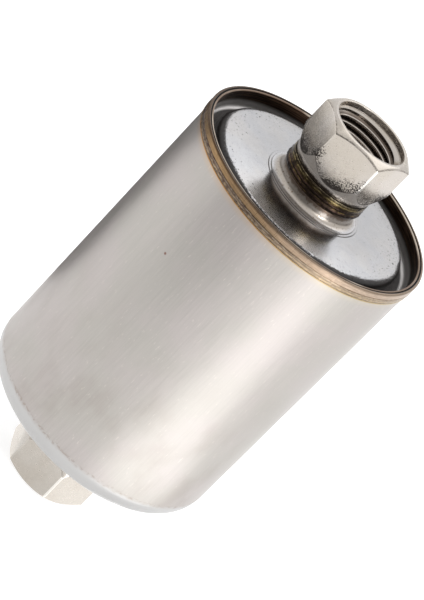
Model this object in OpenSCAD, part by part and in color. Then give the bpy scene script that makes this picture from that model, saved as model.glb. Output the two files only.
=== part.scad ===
// In-line fuel filter: a drawn stainless can closed by a recessed pressed cover,
// with a welded hexagonal port at each end and a spring-loaded pleated cartridge inside.
// +Z runs from the inlet port (bottom) to the outlet port (top); the origin is the
// centre of the inlet port's end face. All lengths are in millimetres.

/* [Can] */
// Outside diameter of the can's plain wall
can_d = 54.5; // [52:0.5:58]
// Length of the can from its closed end to its rim
can_len = 73.6; // [72:0.2:90]
// Wall thickness of the can
can_wall = 0.7; // [0.6:0.05:1]
// Outside radius of the can's closed corner
can_corner_r = 5; // [3.5:0.5:6]
// Height of the slightly wider band that holds the cover
band_h = 2.9; // [2:0.1:4]
// How far that band stands proud of the plain wall
band_proud = 0.3; // [0.1:0.05:0.4]

/* [Cover] */
// Sheet thickness of the end cover
cover_t = 0.6; // [0.5:0.05:0.8]
// Depth of the flat disc below the rim
disc_drop = 1.45; // [1:0.05:2.5]
// Depth of the round trough below the rim
trough_drop = 4.9; // [4:0.1:6]
// Outside radius of the trough's inner wall
trough_in_r = 23.6; // [23:0.1:24]
// Radius of the disc's rounded shoulder
shoulder_r = 1.6; // [0.8:0.1:2]

/* [Ports] */
// Hexagon size across its flats
hex_af = 19.05; // [18.9:0.05:20]
// Length of a port from its end face to its weld
port_len = 13.3; // [13:0.1:16]
// Radius of the tapped hole at the thread's crests
thread_minor_r = 7.19; // [7:0.01:7.2]
// Radius of the plain entry of the port
entry_r = 8.3; // [8.1:0.05:8.4]
// Depth of the plain entry
entry_depth = 1.3; // [1:0.1:2]
// Depth of the tapped hole below the end face
tapped_depth = 11; // [10:0.5:11]
// Radius of the flow passage below the thread
passage_r = 4.5; // [3:0.25:5]
// Height of the weld ring under each port
weld_h = 1.8; // [1.2:0.1:2.4]
// Turn of the inlet hexagon about the axis, from the outlet's
inlet_turn = -13.5; // [-30:0.5:30]

/* [Cartridge] */
// Number of pleats in the filter paper
pleats = 40; // [32:1:44]
// Paper thickness
paper_t = 0.45; // [0.3:0.05:0.5]
// Outside radius of the pleats
pleat_out_r = 21.5; // [20:0.25:21.75]
// Inside radius of the pleats
pleat_in_r = 10; // [9.75:0.25:11]
// Outside radius of the two end caps
cap_r = 22.5; // [22.25:0.05:22.5]
// Sheet thickness of the end caps
cap_t = 0.5; // [0.4:0.05:0.6]
// Height of the end caps' turned rims
cap_rim_h = 5.3; // [4:0.1:7]
// Depth of the resin that holds the pleats in each cap
resin_h = 3; // [2:0.25:4]
// Outside radius of the perforated centre tube
tube_r = 9; // [8.8:0.05:9.2]
// Wall thickness of the centre tube
tube_wall = 0.5; // [0.4:0.05:0.5]
// Diameter of the holes in the centre tube
tube_hole_d = 3.2; // [2:0.1:3.6]

/* [Spring] */
// Wire diameter of the cartridge spring
wire_d = 1.5; // [1.2:0.1:1.6]
// Mean diameter of the spring
spring_d = 30; // [28:0.5:31]
// Height of the spring as fitted
spring_h = 11; // [10:0.25:12]
// Coils in the spring, with one dead coil at each end
spring_turns = 4.5; // [4:0.5:5]

/* [Hidden] */
$fn = 96;

// Small amounts: a cut that runs past a face, and the gap left between moving faces
past = 1;
running_gap = 0.05;

// Ports: their collars on the can and the cover, and the parts of a port
collar_r = 9.1;
cover_collar_h = 1.5;
can_collar_h = 2.2;
shank_r = 8.3;
neck_r = 9.5;
groove_depth = 0.25;
groove_w = 0.35;
groove_at = 1.45;
shoulder_at = 2.6;
bevel_corner_h = 3.1;
end_chamfer_angle = 32;
end_chamfer_drop = 0.3;
spigot_r = 6.5;
spigot_len = 15.5;
inlet_shank_in = 1.2;
point_drop = 1.5;
weld_proud = 0.15;
weld_bulge_r = weld_h * 0.62;

// Radii of the housing
can_r = can_d / 2;
band_r = can_r + band_proud;
cover_r = band_r - can_wall;
flange_in_r = cover_r - cover_t;
cover_body_r = can_r - can_wall - running_gap;
trough_fillet = 1.1;
hex_corner_r = hex_af / 2 / cos(30);

// Heights, from the inlet port's end face upwards
floor_z = port_len + weld_h + can_collar_h;
floor_in_z = floor_z + can_wall;
rim_z = floor_z + can_len;
disc_z = rim_z - disc_drop;
cover_under_z = disc_z - cover_t;
outlet_weld_z = rim_z + cover_collar_h;
outlet_port_z = outlet_weld_z + weld_h;
top_z = outlet_port_z + port_len;

// Heights inside the can
spring_z = floor_in_z + running_gap;
seat_t = 0.6;
seat_z = spring_z + spring_h + running_gap;
low_cap_z = seat_z + seat_t;
seal_flange_h = 3.3;
up_cap_z = cover_under_z - running_gap - seal_flange_h - cap_t;
media_z = low_cap_z + cap_t + resin_h;
media_top_z = up_cap_z - resin_h;
tube_in_r = tube_r - tube_wall;

// Half of the gap inside a folded pleat, and the sizes of the clip on the paper's seam
fold_gap = 0.15;
clip_t = 0.25;
clip_leg = 5;
clip_clear = 0.05;
clip_end_gap = 0.5;

// A point at a given radius and angle
function polar(r, a) = [r * cos(a), r * sin(a)];

// Angle, in degrees, that a half-width takes up at a radius
function half_angle(half_w, r) = asin(half_w / r);

// ---- Profiles, drawn as radius across and height up ----

// A cup with a rounded bottom corner, solid from the axis out
module cup_2d(r, h, corner) {
    translate([0, corner]) square([r, h - corner]);
    square([r - corner, corner]);
    translate([r - corner, corner]) circle(corner);
}

// The hollow corner between a floor at y = 0 and a wall at x = 0
module root_2d(r) {
    difference() {
        square(r);
        translate([r, r]) circle(r);
    }
}

// What rounding a corner takes away: the corner is at the origin, its sides run
// to the left and down, and the round has radius r
module round_corner_2d(r) {
    difference() {
        translate([-r, -r]) square(r + past);
        translate([-r, -r]) circle(r);
    }
}

// Half of the can's wall, from its closed end up to its rim
module can_2d() {
    difference() {
        union() {
            cup_2d(can_r, can_len, can_corner_r);
            translate([0, can_len - band_h]) square([band_r, band_h]);
            translate([can_r, can_len - band_h]) mirror([0, 1]) root_2d(band_proud);
            mirror([0, 1]) {
                square([collar_r, can_collar_h]);
                translate([collar_r, 0]) root_2d(can_collar_h);
            }
        }
        translate([0, can_wall])
            cup_2d(can_r - can_wall, can_len, can_corner_r - can_wall);
        translate([0, can_len - band_h]) square([cover_r, band_h + past]);
        translate([0, -can_collar_h - past]) square([shank_r, can_len]);
    }
}

// The pressed cover seen from above: everything under its upper surface
module cover_upper_2d() {
    wall_x = trough_in_r;
    // Disc with its rounded shoulder
    difference() {
        square([wall_x, disc_z]);
        translate([wall_x, disc_z]) round_corner_2d(shoulder_r);
    }
    // Collar round the port
    translate([0, disc_z]) {
        square([collar_r, outlet_weld_z - disc_z]);
        translate([collar_r, 0]) root_2d(outlet_weld_z - disc_z);
    }
    // Trough, with a hollow corner at each side
    square([cover_r, rim_z - trough_drop]);
    translate([wall_x, rim_z - trough_drop]) root_2d(trough_fillet);
    translate([flange_in_r, rim_z - trough_drop]) mirror([1, 0]) root_2d(trough_fillet);
    // Standing flange
    translate([flange_in_r, 0]) square([cover_t, rim_z]);
}

// What is cut away from beneath the cover's sheet
module cover_under_2d() {
    wall_x = trough_in_r - cover_t;
    translate([0, -past]) {
        square([wall_x - shoulder_r, cover_under_z + past]);
        square([wall_x, cover_under_z - shoulder_r + cover_t + past]);
        square([cover_r + past, rim_z - trough_drop - cover_t + past]);
    }
    translate([cover_body_r, -past]) square([past, rim_z - band_h + past]);
}

module cover_2d() {
    difference() {
        cover_upper_2d();
        cover_under_2d();
        square([shank_r, top_z]);
    }
}

// ---- Ports ----

// A port standing on its weld face at z = 0, its end face up; tail is how far its
// shank runs down, and spigot how much further its narrower tip runs
module port(tail, spigot) {
    bevel_z = shoulder_at;
    chamfer_drop = (hex_corner_r - hex_af / 2) * tan(end_chamfer_angle);
    end_r = hex_af / 2 - end_chamfer_drop / tan(end_chamfer_angle);
    chamfer_z = port_len - chamfer_drop - end_chamfer_drop;
    difference() {
        union() {
            // Hexagon, bevelled at both ends
            intersection() {
                cylinder(h = port_len, r = hex_corner_r, $fn = 6);
                rotate_extrude()
                    polygon([[0, bevel_z - past], [hex_af / 2, bevel_z - past],
                             [hex_af / 2, bevel_z],
                             [hex_corner_r, bevel_z + bevel_corner_h],
                             [hex_corner_r, chamfer_z], [end_r, port_len],
                             [0, port_len]]);
            }
            cylinder(h = bevel_z, r = neck_r);
            translate([0, 0, -tail]) cylinder(h = tail + past, r = shank_r);
            if (spigot > 0)
                translate([0, 0, -tail - spigot]) cylinder(h = spigot + past, r = spigot_r);
        }
        // Groove turned round the neck
        translate([0, 0, groove_at]) difference() {
            cylinder(h = groove_w, r = neck_r + past);
            translate([0, 0, -past]) cylinder(h = groove_w + 2 * past, r = neck_r - groove_depth);
        }
        port_bore(tail + spigot);
    }
}

// The stepped hole through a port
module port_bore(tail) {
    run_in = entry_r - thread_minor_r;
    translate([0, 0, -tail - past]) cylinder(h = tail + port_len + 2 * past, r = passage_r);
    translate([0, 0, port_len - tapped_depth])
        cylinder(h = tapped_depth + past, r = thread_minor_r);
    translate([0, 0, port_len - tapped_depth - point_drop])
        cylinder(h = point_drop, r1 = passage_r, r2 = thread_minor_r);
    translate([0, 0, port_len - entry_depth]) cylinder(h = entry_depth + past, r = entry_r);
    translate([0, 0, port_len - entry_depth - run_in])
        cylinder(h = run_in, r1 = thread_minor_r, r2 = entry_r);
}

// A weld ring between z = 0 and its height, with a rounded outside
module weld_ring() {
    rotate_extrude() intersection() {
        translate([shank_r, 0]) square([2 * weld_bulge_r, weld_h]);
        translate([neck_r + weld_proud - weld_bulge_r, weld_h / 2]) circle(weld_bulge_r);
    }
}

module housing_can() {
    color("silver") translate([0, 0, floor_z]) rotate_extrude() can_2d();
}

module end_cover() {
    color("gainsboro") rotate_extrude() cover_2d();
}

module outlet_fitting() {
    shank = outlet_port_z - cover_under_z;
    color("lightgray") translate([0, 0, outlet_port_z]) port(shank, spigot_len);
}

module inlet_fitting() {
    shank = floor_in_z + inlet_shank_in - port_len;
    color("lightgray") rotate([0, 0, inlet_turn]) translate([0, 0, port_len])
        mirror([0, 0, 1]) port(shank, 0);
}

module outlet_weld_ring() {
    color("saddlebrown") translate([0, 0, outlet_weld_z]) weld_ring();
}

module inlet_weld_ring() {
    color("saddlebrown") translate([0, 0, port_len]) weld_ring();
}

// ---- Cartridge ----

// Rubber bush in the cartridge's top, which slides and seals on the outlet's spigot
module outlet_seal() {
    stem_h = 6;
    flange_r = 12;
    flange_z = up_cap_z + cap_t;
    lip = 0.8;
    color("dimgray") difference() {
        union() {
            translate([0, 0, up_cap_z - stem_h])
                cylinder(h = stem_h + cap_t + past, r = tube_in_r);
            translate([0, 0, flange_z]) cylinder(h = seal_flange_h - lip, r = flange_r);
            translate([0, 0, flange_z + seal_flange_h - lip])
                cylinder(h = lip, r1 = flange_r, r2 = flange_r - lip);
        }
        translate([0, 0, up_cap_z - stem_h - past])
            cylinder(h = stem_h + seal_flange_h + 3 * past, r = spigot_r + running_gap);
    }
}

// An end cap with its plate at z = 0 and its rim turned up; hole_r = 0 closes it
module end_cap(hole_r) {
    rotate_extrude() difference() {
        cup_2d(cap_r, cap_rim_h, 1);
        translate([0, cap_t]) square([cap_r - cap_t, cap_rim_h]);
        if (hole_r > 0) translate([0, -past]) square([hole_r, cap_rim_h]);
    }
}

module upper_end_cap() {
    color("goldenrod") translate([0, 0, up_cap_z + cap_t]) mirror([0, 0, 1])
        end_cap(tube_in_r);
}

module lower_end_cap() {
    color("goldenrod") translate([0, 0, low_cap_z]) end_cap(0);
}

// Resin disc that seals the pleats to a cap, from z = 0 up
module resin_ring() {
    rotate_extrude() translate([tube_r, 0]) square([cap_r - cap_t - tube_r, resin_h]);
}

module upper_potting() {
    color("orange") translate([0, 0, media_top_z]) resin_ring();
}

module lower_potting() {
    color("orange") translate([0, 0, low_cap_z + cap_t]) resin_ring();
}

// Outline of one side of the pleated paper: tips at tip_r with half-width tip_w,
// valleys at valley_r with half-width valley_w
function pleat_outline(tip_r, tip_w, valley_r, valley_w) = [
    for (k = [0 : pleats - 1])
        let (a = 360 * k / pleats, b = a + 180 / pleats,
             da = half_angle(tip_w, tip_r), db = half_angle(valley_w, valley_r))
        each [polar(tip_r, a - da), polar(tip_r, a + da),
              polar(valley_r, b - db), polar(valley_r, b + db)]
];

module filter_media() {
    color("wheat") translate([0, 0, media_z]) linear_extrude(media_top_z - media_z)
        difference() {
            polygon(pleat_outline(pleat_out_r, paper_t + fold_gap,
                                  pleat_in_r + paper_t, fold_gap));
            polygon(pleat_outline(pleat_out_r - paper_t, fold_gap,
                                  pleat_in_r, paper_t + fold_gap));
        }
}

// Folded metal strip that joins the paper's two ends, pinched over one pleat
module pleat_seam_clip() {
    tip_w = paper_t + fold_gap;
    valley_w = PI * pleat_in_r / pleats - fold_gap;
    lean = atan((valley_w - tip_w) / (pleat_out_r - pleat_in_r - paper_t));
    reach = tip_w + clip_clear;
    spread = reach + clip_leg * tan(lean);
    low = low_cap_z + cap_rim_h + clip_end_gap;
    high = up_cap_z + cap_t - cap_rim_h - clip_end_gap;
    inner = [[-clip_leg, spread], [0, reach], [0, -reach], [-clip_leg, -spread]];
    outer = [[-clip_leg, -spread - clip_t], [clip_t, -reach - clip_t],
             [clip_t, reach + clip_t], [-clip_leg, spread + clip_t]];
    color("silver") translate([pleat_out_r + clip_clear, 0, low]) linear_extrude(high - low)
        polygon(concat(inner, outer));
}

// Perforated tube that holds the pleats apart from the clean side
module center_tube() {
    rows = 9;
    columns = 6;
    low = low_cap_z + cap_t;
    top = up_cap_z;
    pitch = (media_top_z - media_z) / rows;
    color("darkgray") difference() {
        translate([0, 0, low]) cylinder(h = top - low, r = tube_r);
        translate([0, 0, low - past]) cylinder(h = top - low + 2 * past, r = tube_in_r);
        for (row = [0 : rows - 1], column = [0 : columns / 2 - 1])
            translate([0, 0, media_z + (row + 0.5) * pitch])
                rotate([0, 0, 360 * column / columns + 180 / columns * (row % 2)])
                rotate([0, 90, 0]) cylinder(h = 2 * tube_r + past, d = tube_hole_d, center = true);
    }
}

// ---- Spring ----

// Cupped washer that spreads the spring's push, with three fingers that centre
// the cartridge in the can
module spring_seat() {
    lip_h = 2;
    plate_in_r = 8;
    side_gap = 0.5;
    plate_r = spring_d / 2 + wire_d / 2 + side_gap;
    finger_r = can_r - can_wall - side_gap;
    finger_w = 5;
    color("darkkhaki") translate([0, 0, seat_z]) {
        difference() {
            union() {
                translate([0, 0, -lip_h]) cylinder(h = seat_t + lip_h, r = plate_r + seat_t);
                for (k = [0 : 2]) rotate([0, 0, 120 * k + 30])
                    translate([0, -finger_w / 2, 0]) cube([finger_r, finger_w, seat_t]);
            }
            translate([0, 0, -lip_h - past]) cylinder(h = lip_h + past, r = plate_r);
            translate([0, 0, -past]) cylinder(h = seat_t + 2 * past, r = plate_in_r);
        }
    }
}

// Height of the wire's centre at a share t of the whole coil: a dead coil lies close
// at each end, and the coils between them rise evenly
function coil_z(t) =
    let (dead = 1 / spring_turns, low = wire_d, high = spring_h - wire_d,
         u = (t - dead) / (1 - 2 * dead))
    t < dead ? wire_d / 2 + (low - wire_d / 2) * t / dead :
    t > 1 - dead ? high + (wire_d / 2) * (t - 1 + dead) / dead :
    low + (high - low) * u;

module compression_spring() {
    sides = 10;
    per_turn = 28;
    rings = round(spring_turns * per_turn);
    r = wire_d / 2;
    points = [
        for (i = [0 : rings])
            let (t = i / rings, a = 360 * spring_turns * t)
            for (k = [0 : sides - 1])
                let (c = 360 * k / sides, d = spring_d / 2 + r * cos(c))
                [d * cos(a), d * sin(a), coil_z(t) + r * sin(c)]
    ];
    skin = [
        for (i = [0 : rings - 1], k = [0 : sides - 1])
            let (n = (k + 1) % sides, p = i * sides, q = p + sides)
            [p + k, q + k, q + n, p + n]
    ];
    first = [for (k = [0 : sides - 1]) k];
    last = [for (k = [sides - 1 : -1 : 0]) rings * sides + k];
    color("slategray") translate([0, 0, spring_z])
        polyhedron(points, concat(skin, [first, last]));
}

housing_can();
end_cover();
outlet_fitting();
inlet_fitting();
outlet_weld_ring();
inlet_weld_ring();
outlet_seal();
upper_end_cap();
upper_potting();
filter_media();
pleat_seam_clip();
center_tube();
lower_potting();
lower_end_cap();
spring_seat();
compression_spring();
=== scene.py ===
"""Looks of an in-line fuel filter: a stainless can with a recessed pressed cover, a
hexagonal threaded port at each end, and the spring-loaded pleated cartridge inside.

Lengths are in millimetres, as in the CAD, and MM turns them into metres when a mesh is made.
Radii are measured from the filter's axis, which is the Z axis.
"""
import math

import bmesh
import bpy
from mathutils import Matrix, Vector


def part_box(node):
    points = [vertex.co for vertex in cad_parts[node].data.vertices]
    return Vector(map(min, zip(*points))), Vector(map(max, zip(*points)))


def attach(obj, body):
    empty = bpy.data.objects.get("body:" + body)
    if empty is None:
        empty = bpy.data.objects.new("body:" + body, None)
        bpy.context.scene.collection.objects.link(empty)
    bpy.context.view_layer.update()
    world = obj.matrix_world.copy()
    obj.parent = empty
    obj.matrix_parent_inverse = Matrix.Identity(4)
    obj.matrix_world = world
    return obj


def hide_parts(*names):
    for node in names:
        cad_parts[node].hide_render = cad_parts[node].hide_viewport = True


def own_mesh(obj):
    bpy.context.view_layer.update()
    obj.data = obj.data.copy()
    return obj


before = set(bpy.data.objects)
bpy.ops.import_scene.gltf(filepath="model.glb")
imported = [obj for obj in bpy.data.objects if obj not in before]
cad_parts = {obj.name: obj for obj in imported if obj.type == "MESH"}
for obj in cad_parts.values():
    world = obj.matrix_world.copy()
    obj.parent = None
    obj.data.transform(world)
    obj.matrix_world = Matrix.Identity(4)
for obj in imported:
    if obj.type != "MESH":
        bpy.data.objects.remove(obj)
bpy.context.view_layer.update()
MM = 0.001


def levels(node):
    """Lowest and highest point of a CAD node, and its largest radius, in mm."""
    low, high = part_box(node)
    return low.z / MM, high.z / MM, high.x / MM


# ---- Sizes read from the frame ----
CAN_LOW, RIM, BAND_R = levels("housing_can")
COVER_LOW, COLLAR_TOP, COVER_R = levels("end_cover")
SPIGOT_LOW, TOP, HEX_CORNER_R = levels("outlet_fitting")
INLET_IN = levels("inlet_fitting")[1]
OUT_WELD_LOW, OUT_WELD_TOP, WELD_R = levels("outlet_weld_ring")
IN_WELD_LOW, IN_WELD_TOP, _ = levels("inlet_weld_ring")
SEAL_LOW, SEAL_TOP, SEAL_R = levels("outlet_seal")
_, UP_CAP_TOP, CAP_R = levels("upper_end_cap")
LOW_CAP_LOW, LOW_CAP_TOP, _ = levels("lower_end_cap")
UP_RESIN_LOW, UP_RESIN_TOP, RESIN_R = levels("upper_potting")
LOW_RESIN_LOW, LOW_RESIN_TOP, _ = levels("lower_potting")
PAPER_LOW, PAPER_TOP, PLEAT_OUT_R = levels("filter_media")
TUBE_LOW, TUBE_TOP, TUBE_R = levels("center_tube")
SPRING_LOW, SPRING_TOP, SPRING_R = levels("compression_spring")

# ---- Sizes that the pieces share ----
WALL_R = BAND_R - 0.3
SHEET = 0.7
COVER_SHEET = 0.6
COLLAR_R = 9.1
CAN_COLLAR_H = 2.2
CORNER_TOP = 7.7
SHANK_R = 8.3
DISC_DROP = 1.45
TROUGH_DROP = 4.9
TROUGH_IN_R = 23.6
STEPS_R = 11.4
STEP = 0.1
STEP_GAP = 0.6
FLANGE_IN_R = COVER_R - COVER_SHEET
NECK_R = 9.5
HEX_HALF = HEX_CORNER_R * math.cos(math.radians(30))
PORT_LEN = TOP - OUT_WELD_TOP
INLET_TURN = math.radians(-13.5)
PASSAGE_R = 4.5
THREAD_CREST_R = 7.19
THREAD_ROOT_R = 8.0
THREAD_PITCH = 1.5
ENTRY_R = 8.3
ENTRY_DEPTH = 1.3
TAPPED_DEPTH = 11
SPECK_AZIMUTH = -27.3
SPECK_DROP = 21.6
SEAL_BORE_R = 6.55

# ---- The photograph's view ----
VIEW_AZIMUTH = -3.61
VIEW_ELEVATION = 27.0165
VIEW_ROLL = 44.16
FOCAL_LENGTH = 168.05
AIM = Vector((0, 0, (RIM + CAN_LOW + CAN_COLLAR_H) / 2)) * MM
CAMERA_RIGHT = 1.875
CAMERA_UP = 1.507
CAMERA_BACK = 570.74


def toward(azimuth, elevation):
    """Direction from the object towards a place that far round from the camera, to its right."""
    a = math.radians(VIEW_AZIMUTH + azimuth)
    e = math.radians(elevation)
    return Vector((math.sin(a) * math.cos(e), -math.cos(a) * math.cos(e), math.sin(e)))


# ---- Mesh tools ----

def add_object(name, data):
    made = bpy.data.objects.new(name, data)
    bpy.context.scene.collection.objects.link(made)
    return made


def to_data(mesh, name):
    """A bmesh as mesh data. The bmesh is freed."""
    data = bpy.data.meshes.new(name)
    mesh.to_mesh(data)
    mesh.free()
    return data


def rounded(corners, steps=5, closed=True):
    """Points of an outline through (across, up, round) corners, each rounded to its radius."""
    points = []
    count = len(corners)
    for i, (across, up, radius) in enumerate(corners):
        here = Vector((across, up))
        if radius <= 0 or (not closed and i in (0, count - 1)):
            points.append(here)
            continue
        back = (Vector(corners[i - 1][:2]) - here).normalized()
        ahead = (Vector(corners[(i + 1) % count][:2]) - here).normalized()
        half_turn = (math.pi - back.angle(ahead)) / 2
        centre = here + (back + ahead).normalized() * radius / math.cos(half_turn)
        start = here + back * radius * math.tan(half_turn) - centre
        end = here + ahead * radius * math.tan(half_turn) - centre
        sweep = start.angle_signed(end)
        for k in range(steps + 1):
            points.append(centre + Matrix.Rotation(-sweep * k / steps, 2) @ start)
    return points


def even_angles(count):
    return [2 * math.pi * k / count for k in range(count)]


def add_rings(mesh, rings, closed=False, climb=0):
    """Faces between rings of points. The last ring joins the first if closed. Each ring's
    last point joins the first point of the ring that is climb rings further on."""
    made = [[mesh.verts.new(Vector(p) * MM) for p in ring] for ring in rings]
    count = len(made[0])
    for i in range(len(made) if closed else len(made) - 1):
        low, high = made[i], made[(i + 1) % len(made)]
        for k in range(count - 1):
            mesh.faces.new((low[k], low[k + 1], high[k + 1], high[k]))
        if i + climb + 1 < len(made) or closed:
            over, above = made[(i + climb) % len(made)], made[(i + climb + 1) % len(made)]
            mesh.faces.new((low[-1], over[0], above[0], high[-1]))
    return made


def finish_piece(mesh, name, body, nodes, material, crease=35, weld=0.0):
    """Turns a bmesh into a smooth-shaded piece that rides on a body and stands for CAD nodes."""
    if weld > 0:
        bmesh.ops.remove_doubles(mesh, verts=mesh.verts, dist=weld * MM)
        bmesh.ops.dissolve_degenerate(mesh, dist=weld * MM / 2, edges=mesh.edges)
    bmesh.ops.recalc_face_normals(mesh, faces=mesh.faces)
    for face in mesh.faces:
        face.smooth = True
    for edge in mesh.edges:
        edge.smooth = edge.calc_face_angle(0) < math.radians(crease)
    data = to_data(mesh, name)
    piece = add_object(name, data)
    data.materials.append(material)
    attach(piece, body)
    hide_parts(*nodes)
    return piece


def turned_rings(outline, angles):
    return [[(r * math.cos(a), r * math.sin(a), z) for a in angles] for r, z in outline]


def turned(name, corners, body, nodes, material, segments=192, steps=5):
    """A piece turned about the axis from a closed outline of (radius, height, round) corners."""
    mesh = bmesh.new()
    add_rings(mesh, turned_rings(rounded(corners, steps), even_angles(segments)), closed=True)
    return finish_piece(mesh, name, body, nodes, material)


# ---- Material tools ----

def rgb(red, green, blue):
    """A colour given as 0 to 255 display values, as linear light."""
    def linear(c):
        c /= 255
        return c / 12.92 if c <= 0.04045 else ((c + 0.055) / 1.055) ** 2.4
    return linear(red), linear(green), linear(blue), 1.0


class Surface:
    """A material under construction: its shader, its coordinates in mm, and node shorthand."""

    def __init__(self, name, metallic=1.0, **constants):
        self.material = bpy.data.materials.new(name)
        self.material.use_nodes = True
        self.nodes = self.material.node_tree.nodes
        self.links = self.material.node_tree.links
        self.shader = self.nodes["Principled BSDF"]
        self.shader.inputs["Metallic"].default_value = metallic
        for socket, value in constants.items():
            self.shader.inputs[socket.replace("_", " ")].default_value = value
        place = self.node("ShaderNodeTexCoord").outputs["Object"]
        self.place = self.scaled(place, (1 / MM,) * 3)
        split = self.node("ShaderNodeSeparateXYZ")
        self.feed(split.inputs[0], self.place)
        self.x, self.y, self.z = split.outputs
        across = self.maths("ADD", self.maths("MULTIPLY", self.x, self.x),
                            self.maths("MULTIPLY", self.y, self.y))
        self.r = self.maths("SQRT", across)

    def node(self, kind):
        return self.nodes.new(kind)

    def feed(self, socket, value):
        if isinstance(value, bpy.types.NodeSocket):
            self.links.new(value, socket)
        else:
            socket.default_value = value

    def scaled(self, vector, scale):
        made = self.node("ShaderNodeVectorMath")
        made.operation = "MULTIPLY"
        self.feed(made.inputs[0], vector)
        made.inputs[1].default_value = scale
        return made.outputs[0]

    def maths(self, operation, *values, clamp=False):
        made = self.node("ShaderNodeMath")
        made.operation = operation
        made.use_clamp = clamp
        for socket, value in zip(made.inputs, values):
            self.feed(socket, value)
        return made.outputs[0]

    def noise(self, per_mm, detail=2.0, rough=0.5):
        """Noise from 0 to 1 with per_mm features a millimetre: one number, or one for each axis."""
        made = self.node("ShaderNodeTexNoise")
        made.inputs["Scale"].default_value = 1.0
        made.inputs["Detail"].default_value = detail
        made.inputs["Roughness"].default_value = rough
        per_axis = per_mm if isinstance(per_mm, tuple) else (per_mm,) * 3
        self.feed(made.inputs["Vector"], self.scaled(self.place, per_axis))
        return made.outputs["Fac"]

    def ease(self, value, start, end, low=0.0, high=1.0):
        """low before start, high after end, and smooth between them."""
        made = self.node("ShaderNodeMapRange")
        made.interpolation_type = "SMOOTHSTEP"
        self.feed(made.inputs["Value"], value)
        made.inputs["From Min"].default_value = start
        made.inputs["From Max"].default_value = end
        made.inputs["To Min"].default_value = low
        made.inputs["To Max"].default_value = high
        return made.outputs["Result"]

    def band(self, value, middle, half, soft):
        """1 within half of middle, falling to 0 over soft."""
        off = self.maths("ABSOLUTE", self.maths("SUBTRACT", value, middle))
        return self.ease(off, half, half + soft, 1.0, 0.0)

    def mix(self, share, first, second, blend="MIX"):
        made = self.node("ShaderNodeMix")
        made.data_type = "RGBA"
        made.blend_type = blend
        self.feed(made.inputs[0], share)
        self.feed(made.inputs[6], first)
        self.feed(made.inputs[7], second)
        return made.outputs[2]

    def ramp(self, share, *stops):
        made = self.node("ShaderNodeValToRGB")
        elements = made.color_ramp.elements
        while len(elements) < len(stops):
            elements.new(0.5)
        for element, (position, colour) in zip(elements, sorted(stops)):
            element.position = position
            element.color = colour
        self.feed(made.inputs[0], share)
        return made.outputs[0]

    def shade(self, colour, value, low, high):
        """A colour made darker or lighter by value, which runs from 0 to 1."""
        grey = self.node("ShaderNodeCombineColor")
        level = self.ease(value, 0.2, 0.8, low, high)
        for socket in grey.inputs:
            self.feed(socket, level)
        return self.mix(1.0, colour, grey.outputs[0], "MULTIPLY")

    def bump(self, height, depth, under=None):
        """Bumps of height 0 to 1, depth mm high."""
        made = self.node("ShaderNodeBump")
        made.inputs["Strength"].default_value = 1.0
        made.inputs["Distance"].default_value = depth * MM
        self.feed(made.inputs["Height"], height)
        if under is not None:
            self.feed(made.inputs["Normal"], under)
        return made.outputs["Normal"]

    def done(self, colour, roughness, normal=None):
        self.feed(self.shader.inputs["Base Color"], colour)
        self.feed(self.shader.inputs["Roughness"], roughness)
        if normal is not None:
            self.feed(self.shader.inputs["Normal"], normal)
        return self.material


# ---- Looks ----

def axial_streaks(look):
    """Fine draw lines along the axis, as a height from 0 to 1."""
    fine = look.noise((4.4, 4.4, 0.16), detail=4.0, rough=0.65)
    broad = look.noise((1.6, 1.6, 0.05), detail=2.0)
    return look.maths("ADD", look.maths("MULTIPLY", fine, 0.7), look.maths("MULTIPLY", broad, 0.3))


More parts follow.
